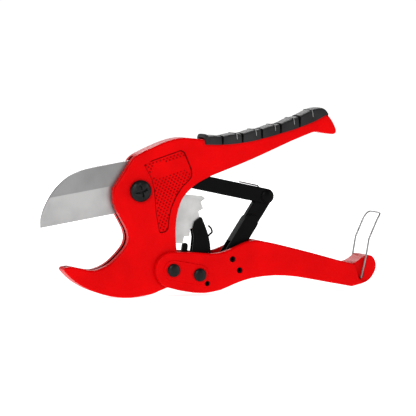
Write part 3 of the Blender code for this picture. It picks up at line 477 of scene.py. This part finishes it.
@dataclass
class Casting:
    """The red jaw and upper handle, with the studded panels on its cheeks.

    Attributes:
        panel_level: How far the panel's floor is from the tool's middle.
        slot_half: Half the blade slot's width; faces inside it get the painted shade.
        stud_radius: Radius of a stud's foot.
        stud_height: How far a stud stands out.
        stud_sides: Points round a stud.
        stud_profile: Rings of a stud, as shares of its radius and height.
        stud_pitch: Distance between studs along a row, and between rows.
        stud_lean: Slope of the rows in degrees.
        stud_columns: First and last place in a row that is tried.
        stud_rows: First and last row that is tried.
        edge_margin: Least gap between a stud and the panel's wall.
        screw_clear: Radius about the pivot that the studs keep out of, and the gap beyond it.
        plain: Ends of the line through the middle of the band without studs.
        plain_half: Half the band's width.
        bead_inset: How far the bead's middle is inside the panel's wall.
        bead_bend: Where the bead starts to round a corner.
        bead_radius: The bead's radius.
        panel: The panel's outline.
    """

    panel_level: float = 6.9
    slot_half: float = 1.8
    stud_radius: float = 0.62
    stud_height: float = 0.38
    stud_sides: int = 10
    stud_profile: tuple = ((1.0, -0.15), (0.72, 0.8), (0.35, 1.0))
    stud_pitch: Point2 = (2.5, 1.6)
    stud_lean: float = 17.0
    stud_columns: tuple[int, int] = (-8, 20)
    stud_rows: tuple[int, int] = (-20, 20)
    edge_margin: float = 0.35
    screw_clear: Point2 = (7.1, 0.5)
    plain: tuple = ((12.6, 12.6), (31.0, 17.6))
    plain_half: float = 4.6
    bead_inset: float = 0.35
    bead_bend: float = 1.2
    bead_radius: float = 0.38
    panel: tuple = ((2.6, 16.6), (8.0, 19.6), (27.6, 26.0), (30.2, 24.6), (35.0, 13.4), (35.3, 9.0),
                    (33.4, 6.2), (28.8, 2.0), (24.6, -4.2), (21.2, -11.6), (19.6, -19.0), (19.0, -25.0),
                    (17.2, -26.9), (13.6, -27.6), (12.6, -26.4), (10.4, -14.0), (9.3, 0.0), (7.6, 7.4))

    def lattice(self) -> Array:
        """A staggered lattice of places that covers more than the panel.

        Returns:
            Places as (n, 2).
        """
        across, up = self.stud_pitch
        tried = (np.arange(*self.stud_columns), np.arange(*self.stud_rows))
        columns, rows = np.meshgrid(*tried, indexing="ij")
        lean = math.radians(self.stud_lean)
        u = columns * across + (rows % 2) * across / 2
        v = rows * up
        x, z = u * math.cos(lean) - v * math.sin(lean), u * math.sin(lean) + v * math.cos(lean)
        return np.stack([x, z], -1).reshape(-1, 2)

    def stud_places(self) -> Array:
        """Centres of the studs: the lattice, kept where it lies well inside the panel.

        Returns:
            Centres as (n, 2).
        """
        places = self.lattice()
        start = np.asarray(self.panel)
        end = np.roll(start, -1, axis=0)
        side = end - start
        offset = places[:, None] - start[None]
        share = np.clip((offset * side).sum(-1) / (side**2).sum(-1), 0, 1)
        clear = np.linalg.norm(offset - share[..., None] * side[None], axis=-1).min(1)
        crossing = (start[:, 1] > places[:, 1, None]) != (end[:, 1] > places[:, 1, None])
        with np.errstate(divide="ignore", invalid="ignore"):
            cut = start[:, 0] + (places[:, 1, None] - start[:, 1]) * side[:, 0] / side[:, 1]
        inside = (crossing & (places[:, :1] < cut)).sum(1) % 2 == 1
        head, gap = self.screw_clear
        clear_of_screw = np.linalg.norm(places, axis=1) > head + self.stud_radius + gap
        start, end = np.array(self.plain[0]), np.array(self.plain[1])
        share = np.clip(((places - start) @ (end - start)) / ((end - start) @ (end - start)), 0, 1)
        from_band = np.linalg.norm(places - start - share[:, None] * (end - start), axis=1)
        clear_of_plain = from_band > self.plain_half
        clear_of_wall = clear > self.stud_radius + self.edge_margin
        return places[inside & clear_of_wall & clear_of_screw & clear_of_plain]

    def bead(self, side: int) -> Shape:
        """A thin round bead in the foot of the panel's wall, all the way round, in dark red: a painted shadow
        along the wall's foot.

        Args:
            side: -1 for the near cheek, 1 for the far one.

        Returns:
            The points and the faces.
        """
        outline = np.asarray(self.panel)
        middle = outline.mean(0)
        reach = np.linalg.norm(outline - middle, axis=1)
        inner = middle + (outline - middle) * (1 - self.bead_inset / reach)[:, None]
        loop = np.concatenate([inner, inner[:2]])
        corners = [(x, side * self.panel_level, z) for x, z in loop]
        line = rounded_path(corners, self.bead_bend, steps=5)[1:-1]
        return swept_round(line, self.bead_radius, sides=8)

    def studs(self, side: int) -> Shape:
        """Low round studs with sloping walls, each made of three rings with a flat top and foot; their darker red
        is painted shade.

        Args:
            side: -1 for the near cheek, 1 for the far one.

        Returns:
            The points and the faces.
        """
        places = self.stud_places()
        around = self.stud_sides
        turn = np.linspace(0, 2 * np.pi, around, endpoint=False)
        round_line = np.stack([np.cos(turn), np.sin(turn)], -1)
        profile = np.array(self.stud_profile)
        radii, rises = profile[:, 0] * self.stud_radius, profile[:, 1] * self.stud_height
        flat = places[:, None, None, :] + radii[None, :, None, None] * round_line[None, None]
        y = np.broadcast_to(side * (self.panel_level + rises)[None, :, None], flat.shape[:3])
        points = np.stack([flat[..., 0], y, flat[..., 1]], -1).reshape(-1, 3)
        first = np.arange(len(places))[:, None] * len(profile) * around
        quads = (grid_faces(len(profile), around, True)[None] + first[..., None]).reshape(-1, 4)
        feet = first + np.arange(around)
        tops = feet + (len(profile) - 1) * around
        return points, quads.tolist() + tops.tolist() + feet.tolist()

    def build(self, bench: Workbench) -> None:
        """Makes the casting, with painted shade in its blade slot, and its studs and panel beads, in darker red as
        painted shade and painted shadow.
        """
        body = bench.dress("body_casting", RED_ENAMEL, "red_paint")
        body.data.materials.append(SLOT_PAINTED_SHADE.material())
        # Faces inside the blade slot take the near-black red: painted shade for the deep slot.
        for face in body.data.polygons:
            in_slot = max(abs(body.data.vertices[v].co.y) for v in face.vertices) < self.slot_half / MM
            face.material_index = int(in_slot)
        for cheek, side in (("near", -1), ("far", 1)):
            # Studs in darker red as painted shade, and a dark red bead round each panel as a painted shadow at the
            # foot of its wall.
            bench.add(cheek + "_panel_studs", self.studs(side), STUD_PAINTED_SHADE, "tool", "red_paint")
            bench.add(cheek + "_panel_shadow_bead", self.bead(side), PANEL_WALL_SHADOW, "tool", "red_paint", sharp=80)


@dataclass
class Grip:
    """The ribbed black grip that saddles the upper handle.

    Attributes:
        half: Half the grip's width.
        casting_half: Half the width of the casting, with the gap to it.
        corner: How far down the rounded shoulder reaches.
        squareness: Exponent of the shoulder's superellipse: 2 would be an ellipse.
        top: The grip's upper line.
        foot: Its lower edge.
        ledge: The casting's upper line under it.
        ends: Where the first land starts and the last one ends.
        deep_grooves: Places of the deep grooves.
        deep_groove: Their depth and half their width.
        fine_grooves: Places of the fine grooves and of the ridges in them.
        fine_groove: Their depth and half their width.
        collar: Height, place and half width of the collar at the front.
        land_swell: How far a land stands out at its highest.
        stations: Sections along the grip.
        ridge_radius: Radius of the fine ridges.
        groove_floor: Relief below which the skin counts as a groove and gets the painted shade.
        end_rounding: The front is rounded over one part in the first of these, the tail over one in the
            second, by the third in millimetres.
        side_trim: How far the sides are inside half the width, before the relief.
        side_share: Share of the relief that the sides take.
        inner_gap: Gaps to the casting over its ledge and at the foot.
        ridge_proud: How far a ridge's middle is outside the skin at the sides.
        ridge_reach: Share of the grip's height that a ridge runs down.
        ridge_corner: A ridge's shoulder, across and up.
    """

    half: float = 8.9
    casting_half: float = 7.62
    corner: float = 2.6
    squareness: float = 3.4
    top: tuple = ((43.6, 34.9), (52.0, 34.7), (58.7, 35.2), (71.3, 36.7), (81.7, 38.9), (94.7, 42.0),
                  (106.1, 45.9), (111.7, 48.3), (117.0, 50.4), (121.2, 51.7), (126.2, 51.9), (129.3, 50.2))
    foot: tuple = ((44.0, 29.2), (55.8, 29.0), (69.8, 30.1), (83.2, 32.6), (96.7, 36.1), (110.2, 40.0),
                   (118.8, 43.3), (129.4, 48.5))
    ledge: tuple = ((46.0, 32.5), (58.7, 32.8), (71.3, 34.3), (81.7, 36.5), (94.7, 39.5), (106.0, 43.3),
                    (113.0, 46.2), (120.0, 48.8), (125.5, 49.3), (129.0, 47.9))
    ends: Point2 = (44.0, 131.0)
    deep_grooves: tuple = (55.8, 69.5, 82.9, 96.0, 109.2)
    deep_groove: Point2 = (1.05, 0.6)
    fine_grooves: tuple = (65.3, 78.6, 91.8, 104.9, 117.8)
    fine_groove: Point2 = (0.28, 0.28)
    collar: Triple = (1.15, 45.3, 1.1)
    land_swell: float = 0.55
    stations: int = 640
    ridge_radius: float = 0.24
    groove_floor: float = -0.35
    end_rounding: Triple = (90.0, 40.0, 1.2)
    side_trim: float = 0.35
    side_share: float = 0.8
    inner_gap: Point2 = (0.12, 0.25)
    ridge_proud: float = 0.02
    ridge_reach: float = 0.62
    ridge_corner: Point2 = (2.2, 2.7)

    @staticmethod
    def bell(x: Array, centre: float, half_width: float) -> Array:
        """A flat-topped bell, 1 at its centre and nearly 0 beyond its width.

        Args:
            x: Places along the tool.
            centre: The bell's place.
            half_width: Half its width.

        Returns:
            The bell's height at each place.
        """
        return np.exp(-((x - centre) / half_width) ** 4)

    def relief(self, x: Array) -> Array:
        """How far the skin stands in or out along the grip, in millimetres.

        Deep grooves are narrow bells, fine grooves are narrower ones, the lands between deep grooves swell
        a little towards the tail, and a collar stands up at the front.

        Args:
            x: Places along the tool.

        Returns:
            The relief at each place.
        """
        out = np.zeros_like(x)
        grooves = [(place, *self.deep_groove) for place in self.deep_grooves]
        grooves += [(place, *self.fine_groove) for place in self.fine_grooves]
        for centre, depth, width in grooves:
            out -= depth * self.bell(x, centre, width)
        edges = np.array([self.ends[0], *self.deep_grooves, self.ends[1]])
        land = np.clip(np.searchsorted(edges, x) - 1, 0, len(edges) - 2)
        share = np.clip((x - edges[land]) / (edges[land + 1] - edges[land]), 0, 1)
        out += self.land_swell * np.sin(np.pi * np.clip(1.15 * (1 - share), 0, 1)) ** 1.5
        height, place, width = self.collar
        return out + height * self.bell(x, place, width)

    def arch(self) -> tuple[Array, Array]:
        """The outer arch of a section, from the foot on -y, over the top, to the foot on +y.

        Returns:
            Shares of the half width, and heights: 0 to 1 on the shoulders, -1 to 0 on the sides.
        """
        across = np.sin(np.linspace(0, np.pi / 2, 15))
        height = np.clip(1 - across**self.squareness, 0, 1) ** (1 / self.squareness)
        side = np.ones(6)
        down = np.linspace(-1.0, -0.08, 6)
        return (np.concatenate([-side, -across[::-1], across[1:], side]),
                np.concatenate([down, height[::-1], height[1:], down[::-1]]))

    def skin(self) -> Shape:
        """The grip as one closed skin.

        For each station along the tool a closed section is drawn: an outer arch whose corner is a
        superellipse quarter, and an inner arch that follows the casting. Stations are carried from the
        front to the tail, and the ends are drawn in to round them.

        Returns:
            The points and the faces.
        """
        lines = (self.top, self.foot, self.ledge)
        top, foot, ledge = (smooth_line(list(line), self.stations) for line in lines)
        relief = self.relief((top[:, 0] + foot[:, 0]) / 2)
        share = np.linspace(0, 1, self.stations)
        front, tail, depth = self.end_rounding
        draw_in = np.clip(np.minimum(share * front, (1 - share) * tail), 0, 1)
        draw_in = np.sqrt(1 - (1 - draw_in) ** 2)
        lift = (relief - depth * (1 - draw_in))[:, None]
        arch_y, arch_h = (line[None] for line in self.arch())
        y = arch_y * (self.half - self.side_trim + lift * self.side_share)
        over = arch_h > 0
        shoulder = top[:, 1:] + lift - self.corner
        z = np.where(over, shoulder + arch_h * self.corner, shoulder + arch_h * (shoulder - foot[:, 1:]))
        x = np.where(over, top[:, :1], top[:, :1] + (foot[:, :1] - top[:, :1]) * np.clip(-arch_h, 0, 1))
        inner_y = np.array([1, 1, 0.96, 0.8, 0.0, -0.8, -0.96, -1, -1]) * self.casting_half
        inner_drop = np.array([1, 0.3, 0.08, 0, 0, 0, 0.08, 0.3, 1])
        over_ledge, at_foot = self.inner_gap
        inner_z = (ledge[:, 1:] + over_ledge) * (1 - inner_drop) + (foot[:, 1:] + at_foot) * inner_drop
        inner_x = ledge[:, :1] * (1 - inner_drop) + foot[:, :1] * inner_drop
        return closed_tube(np.stack([np.concatenate([x, inner_x], 1),
                                     np.concatenate([y, np.broadcast_to(inner_y[None], inner_x.shape)], 1),
                                     np.concatenate([z, inner_z], 1)], -1))

    def ridge(self, place: float) -> Shape:
        """A fine raised line that runs over the grip from side to side, just proud of its skin; its light grey is
        a painted highlight.

        Args:
            place: Its x on the grip's top.

        Returns:
            The points and the faces.
        """
        top, foot = (smooth_line(list(line), self.stations) for line in (self.top, self.foot))
        at = int(np.argmin(np.abs(top[:, 0] - place)))
        swell = float(self.relief(np.array([place]))[0]) + self.fine_groove[0]
        high = top[at, 1] + swell
        low = high - self.ridge_reach * (top[at, 1] - foot[at, 1])
        half = self.half - self.side_trim + self.ridge_proud + self.side_share * swell
        across, up = self.ridge_corner
        turn = np.linspace(0, np.pi / 2, 8)
        y = np.concatenate([[half], half - across + across * np.cos(turn)])
        z = np.concatenate([[low], high - self.corner + up * np.sin(turn)])
        y, z = np.concatenate([-y, y[::-1]]), np.concatenate([z, z[::-1]])
        lean = (foot[at, 0] - top[at, 0]) / (top[at, 1] - foot[at, 1])
        return swept_round(np.stack([top[at, 0] + (high - z) * lean, y, z], 1), self.ridge_radius, sides=8)

    def build(self, bench: Workbench) -> None:
        """Makes the grip, with painted shade in its grooves, and its fine ridges, whose light grey is a painted
        highlight.
        """
        grip = bench.add("ribbed_grip", self.skin(), GRIP_RUBBER, "tool", "black_grip",
                         ("handle_grip",), sharp=50)
        grip.data.materials.append(GRIP_GROOVE_PAINTED_SHADE.material())
        # Faces below the groove floor take the near-black rubber: painted shade in the grooves.
        middles = np.array([face.center.x for face in grip.data.polygons])
        heights = self.relief((middles - bench.pivot[0]) * MM)
        grip.data.polygons.foreach_set("material_index", (heights < self.groove_floor).astype(int))
        # Fine ridges in light grey: painted highlights over the grip.
        for number, place in enumerate(self.fine_grooves, 1):
            bench.add(f"grip_highlight_ridge_{number}", self.ridge(place), RIDGE_PAINTED_HIGHLIGHT, "tool", "black_grip",
                      sharp=70)


@dataclass
class BladeSet:
    """The blade with its pivot screw, nut, washers, bush and return spring.

    Attributes:
        hidden_line: The x inside the casting where the blade's finish changes.
        bevel_lean: Least and greatest y of the direction that a face of the ground bevel looks in.
    """

    hidden_line: float = 12.0
    bevel_lean: Point2 = (0.5, 0.9995)

    def part_finishes(self, mesh: bpy.types.Mesh, line: float) -> None:
        """Gives the ground bevel and the toothed end their own finishes.

        The blade is cut across at a line that the casting hides, so that the finishes can change there.

        Args:
            mesh: The blade's mesh.
            line: The line's x in metres.
        """
        parted = bmesh.new()
        parted.from_mesh(mesh)
        whole = [*parted.verts, *parted.edges, *parted.faces]
        bmesh.ops.bisect_plane(parted, geom=whole, plane_co=(line, 0, 0), plane_no=(1, 0, 0))
        parted.to_mesh(mesh)
        parted.free()
        mesh.materials.append(BEVEL_STEEL.material())
        mesh.materials.append(TOOTH_STEEL.material())
        for face in mesh.polygons:
            bevel = self.bevel_lean[0] < abs(face.normal.y) < self.bevel_lean[1]
            face.material_index = 2 if face.center.x > line else int(bevel)

    def build(self, bench: Workbench) -> None:
        """Makes the blade and all that turns with it or carries it."""
        blade = bench.dress("blade", BLADE_STEEL, "blade_steel", sharp=2.0)
        self.part_finishes(blade.data, bench.pivot[0] + self.hidden_line / MM)
        bench.dress("pivot_screw", SCREW_BLACK, "black_oxide", sharp=40)
        bench.dress("pivot_nut", SCREW_BLACK, "black_oxide", sharp=35)
        bench.dress("blade_bush", BRONZE, "bronze")
        for node in ("front_pivot_washer", "rear_pivot_washer"):
            bench.dress(node, ZINC, "zinc_steel")
        coil = helix((0, 0), radius=9.3, low=2.25, high=5.05, turns=2.0, start=200)
        bench.add("return_spring", swept_round(coil, radius=0.55), SPRING_STEEL, "tool", "spring_steel",
                  ("blade_return_spring",))


@dataclass
class LowerHandle:
    """The red lower handle with its rivets and pins.

    Attributes:
        rivets: Each rivet's node, its x and z, and the body it rides on.
        seat: How far the heads' undersides are from the tool's middle.
        shank_radius: Radius of a rivet between its heads.
        head_radius: Radius of a head.
        head_height: Height of a head.
        head_lip: Height of the straight edge of a head.
    """

    rivets: tuple = (("handle_rivet", (20.8, -51.3), "tool"), ("pawl_rivet", (38.6, -54.7), "lower_handle"))
    seat: float = 13.0
    shank_radius: float = 2.5
    head_radius: float = 4.3
    head_height: float = 2.1
    head_lip: float = 0.25

    def rivet(self, centre: Point2) -> Shape:
        """A rivet: two heads that are quarter ellipses, on a plain shank.

        Args:
            centre: The rivet's x and z.

        Returns:
            The points and the faces.
        """
        turn = np.linspace(0, 1.5, 14)
        radius = self.head_radius * np.cos(turn) ** 0.8
        rise = self.seat + self.head_lip + (self.head_height - self.head_lip) * np.sin(turn)
        head = np.stack([radius, rise], 1)
        foot = np.array([[self.shank_radius, self.seat], [self.head_radius - 0.1, self.seat],
                         [self.head_radius, self.seat + 0.1]])
        half = np.concatenate([foot, head])
        profile = np.concatenate([half[::-1] * [1, -1], half])
        return turned_shape(profile.tolist(), centre)

    def build(self, bench: Workbench) -> None:
        """Makes the handle, rivets and pins."""
        bench.dress("lower_handle", RED_ENAMEL, "red_paint")
        for node, centre, body in self.rivets:
            bench.add(node + "_head", self.rivet(centre), SCREW_BLACK, body, "black_oxide", (node,))
        for node in ("lower_link_pin", "link_stop_pin", "pawl_spring_pin"):
            bench.dress(node, BLACK_STEEL, "black_oxide")


@dataclass
class Pawls:
    """The drive pawl and the holding pawl, with their springs and pin.

    Attributes:
        drive_pivot: The drive pawl's x and z.
        hold_pivot: The holding pawl's x and z.
        toe_length: Length of the drive spring's straight start.
        toe_angle: The way it points, in degrees.
        leg: Corners of the drive spring's leg, from the coil to the end of its bent tab.
        wire: The drive spring's wire radius, and how much wider its bent tab is.
    """

    drive_pivot: Point2 = (38.6, -54.7)
    hold_pivot: Point2 = (28.2, -47.2)
    toe_length: float = 3.0
    toe_angle: float = 48.0
    leg: tuple = ((50.7, -4.3, -43.4), (50.7, 0, -42.2), (47.5, 0, -39.0), (47.5, 0, -32.6),
                  (48.9, 0, -30.2), (51.5, 0, -28.2), (50.7, 0, -25.6), (48.8, 0, -23.8))
    wire: Point2 = (0.45, 0.17)

    def drive_spring(self) -> Array:
        """Stations of the drive pawl's spring: a toe, two and a half turns, and the leg with its tab."""
        coil = helix(self.drive_pivot, radius=3.45, low=-7.175, high=-4.3, turns=2.5, start=138)
        angle = math.radians(self.toe_angle)
        toe = coil[0] + self.toe_length * np.array([math.cos(angle), 0, math.sin(angle)])
        return np.concatenate([toe[None], coil, rounded_path([coil[-1], *self.leg], bend=0.9)[1:]])

    def wire_sizes(self, stations: int) -> Array:
        """The wire's radius at each station: the bent tab at its end is a little flattened and wider."""
        share = np.linspace(0, 1, stations)
        return self.wire[0] + self.wire[1] * np.clip((share - 0.8) * 12, 0, 1)

    def build(self, bench: Workbench) -> None:
        """Makes both pawls."""
        bench.dress("drive_pawl", BLACK_STEEL, "black_oxide", bevel=0.15)
        route = self.drive_spring()
        shape = swept_round(route, self.wire_sizes(len(route)))
        bench.add("drive_spring", shape, BLACK_STEEL, "drive_pawl", "spring_steel",
                  ("drive_pawl_spring",), sharp=60)
        bench.dress("holding_pawl", BLACK_STEEL, "black_oxide", bevel=0.12)
        bench.dress("holding_pawl_pin", BLACK_STEEL, "black_oxide")
        coil = helix(self.hold_pivot, radius=2.35, low=2.25, high=4.05, turns=1.5, start=20)
        bench.add("holding_spring", swept_round(coil, radius=0.4), SPRING_STEEL, "holding_pawl",
                  "spring_steel", ("holding_pawl_spring",))


@dataclass
class Toggle:
    """The two black links between the handles, with their pins and spring."""

    links: tuple[str, ...] = ("upper_link", "lower_link")

    def build(self, bench: Workbench) -> None:
        """Makes the links, pins and spring."""
        for node in self.links:
            bench.dress(node, BLACK_STEEL, "black_oxide", sharp=40)
        bench.dress("elbow_pin", BLACK_STEEL, "black_oxide")
        bench.dress("upper_link_pin", ZINC, "zinc_steel")
        bench.dress("elbow_spring", SPRING_STEEL, "spring_steel", sharp=70)


@dataclass
class Latch:
    """The wire loop that holds the handles shut.

    Attributes:
        half: Half the distance between the legs.
        wire: The wire's radius.
        toe: Length of the bent ends that sit in the handle.
        bend: Where the wire starts to round a corner.
        leg: Corners of a leg: x, how far it leans in, and z.
    """

    half: float = 11.7
    wire: float = 0.6
    toe: float = 3.6
    bend: float = 1.3
    leg: tuple = ((151.3, 0.0, -59.9), (154.9, 0.0, -45.3), (156.9, 0.0, -34.0), (162.8, 0.0, -21.2),
                  (164.8, 0.6, -18.4), (165.8, 3.4, -17.2))

    def build(self, bench: Workbench) -> None:
        """Makes the latch: a round wire through the legs' corners and across the top."""
        near = [(x, drop - self.half, z) for x, drop, z in self.leg]
        far = [(x, self.half - drop, z) for x, drop, z in reversed(self.leg)]
        tip = self.half - self.toe
        x, _, z = self.leg[0]
        route = rounded_path([(x, -tip, z), *near, *far, (x, tip, z)], self.bend, steps=10)
        bench.add("latch_loop", swept_round(route, self.wire), SPRING_STEEL, "latch_wire", "spring_steel",
                  ("latch_wire",), sharp=60)


@dataclass
class Studio:
    """A pale floor, soft lights and the camera.

    Attributes:
        target: The point the camera looks at.
        azimuth: How far the camera is turned from the near side, in degrees.
        elevation: How far it is raised, in degrees.
        distance: Its distance from the target.
        lens: Its focal length.
        shift: Its shift across and up.
        sky: Lowest and highest z of the sky's fade, and the world's strength at each.
        floor_half: Half the floor's side in metres.
        floor_glow: How strongly the floor glows.
        lights: Each light's name, place in metres, side in metres and power in watts.
        aim: The point in metres that the lights face.
    """

    target: Triple = (45.8, 0.0, -11.0)
    azimuth: float = -19.0
    elevation: float = 3.5
    distance: float = 1800.0
    lens: float = 239.6
    shift: Point2 = (0.0096, -0.0049)
    sky: tuple[float, float, float, float] = (0.10, 0.42, 1.05, 0.22)
    floor_half: float = 30.0
    floor_glow: float = 0.84
    lights: tuple = (("key", (-0.75, -1.2, 0.95), 0.7, 13), ("fill", (1.2, -0.9, 0.6), 0.6, 4),
                     ("back", (0.4, 1.3, 0.9), 0.8, 10))
    aim: Triple = (0.0, 0.0, 0.07)

    def camera(self, bench: Workbench) -> None:
        """Puts the camera on its long lens, turned to the jaw's side and a little above."""
        turn, rise = math.radians(self.azimuth), math.radians(self.elevation)
        back = Vector((math.sin(turn) * math.cos(rise), -math.cos(turn) * math.cos(rise), math.sin(rise)))
        data = bpy.data.cameras.new("camera")
        data.lens = self.lens
        data.clip_end = 50
        data.shift_x, data.shift_y = self.shift
        made = bpy.data.objects.new("camera", data)
        bpy.context.scene.collection.objects.link(made)
        made.location = Vector(np.array(self.target) / MM + bench.pivot) + back * self.distance / MM
        made.rotation_mode = "QUATERNION"
        made.rotation_quaternion = (-back).to_track_quat("-Z", "Y")
        bpy.context.scene.camera = made

    def backdrop(self) -> None:
        """A world that is white near the horizon and dims overhead, as in a room with white walls."""
        world = bpy.data.worlds.new("studio")
        world.use_nodes = True
        tree = world.node_tree
        way = tree.nodes.new("ShaderNodeTexCoord")
        parts = tree.nodes.new("ShaderNodeSeparateXYZ")
        fade = tree.nodes.new("ShaderNodeMapRange")
        fade.interpolation_type = "SMOOTHSTEP"
        for socket, value in zip(RANGE_SOCKETS, self.sky):
            fade.inputs[socket].default_value = value
        tree.links.new(way.outputs["Generated"], parts.inputs["Vector"])
        tree.links.new(parts.outputs["Z"], fade.inputs["Value"])
        tree.links.new(fade.outputs["Result"], tree.nodes["Background"].inputs["Strength"])
        tree.nodes["Background"].inputs["Color"].default_value = (1.0, 1.0, 1.0, 1.0)
        bpy.context.scene.world = world

    def floor(self) -> None:
        """A plain white floor that glows a little, like a light table."""
        mesh = bpy.data.meshes.new("floor")
        square = ((-1, -1), (1, -1), (1, 1), (-1, 1))
        corners = [(x * self.floor_half, y * self.floor_half, 0) for x, y in square]
        mesh.from_pydata(corners, [], [(0, 1, 2, 3)])
        paint = bpy.data.materials.new("floor_white")
        paint.use_nodes = True
        shader = paint.node_tree.nodes["Principled BSDF"]
        shader.inputs["Base Color"].default_value = (0.85, 0.85, 0.85, 1.0)
        shader.inputs["Roughness"].default_value = 0.9
        shader.inputs["Specular IOR Level"].default_value = 0.1
        shader.inputs["Emission Color"].default_value = (1.0, 1.0, 1.0, 1.0)
        shader.inputs["Emission Strength"].default_value = self.floor_glow
        mesh.materials.append(paint)
        made = bpy.data.objects.new("floor", mesh)
        bpy.context.scene.collection.objects.link(made)

    def light(self, name: str, place: Triple, size: float, power: float) -> None:
        """A square soft light that faces the tool.

        Args:
            name: The light's name.
            place: Its place in metres.
            size: Length of its side in metres.
            power: Watts.
        """
        data = bpy.data.lights.new(name, "AREA")
        data.size = size
        data.energy = power
        made = bpy.data.objects.new(name, data)
        bpy.context.scene.collection.objects.link(made)
        made.location = place
        made.rotation_mode = "QUATERNION"
        made.rotation_quaternion = (Vector(self.aim) - Vector(place)).to_track_quat("-Z", "Y")

    def build(self, bench: Workbench) -> None:
        """Sets up the whole studio."""
        self.backdrop()
        bpy.context.scene.view_settings.view_transform = "Standard"
        self.floor()
        for name, place, size, power in self.lights:
            self.light(name, place, size, power)
        self.camera(bench)


def main() -> None:
    """Builds the tool's sub-assemblies in order, then the studio."""
    logging.basicConfig(level=logging.INFO, format="%(name)s: %(message)s")
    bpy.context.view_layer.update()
    bench = Workbench()
    for assembly in (Casting(), Grip(), BladeSet(), LowerHandle(), Pawls(), Toggle(), Latch(), Studio()):
        assembly.build(bench)
        LOG.info("%s built", type(assembly).__name__)
    bpy.context.view_layer.update()


if __name__ == "__main__":
    main()
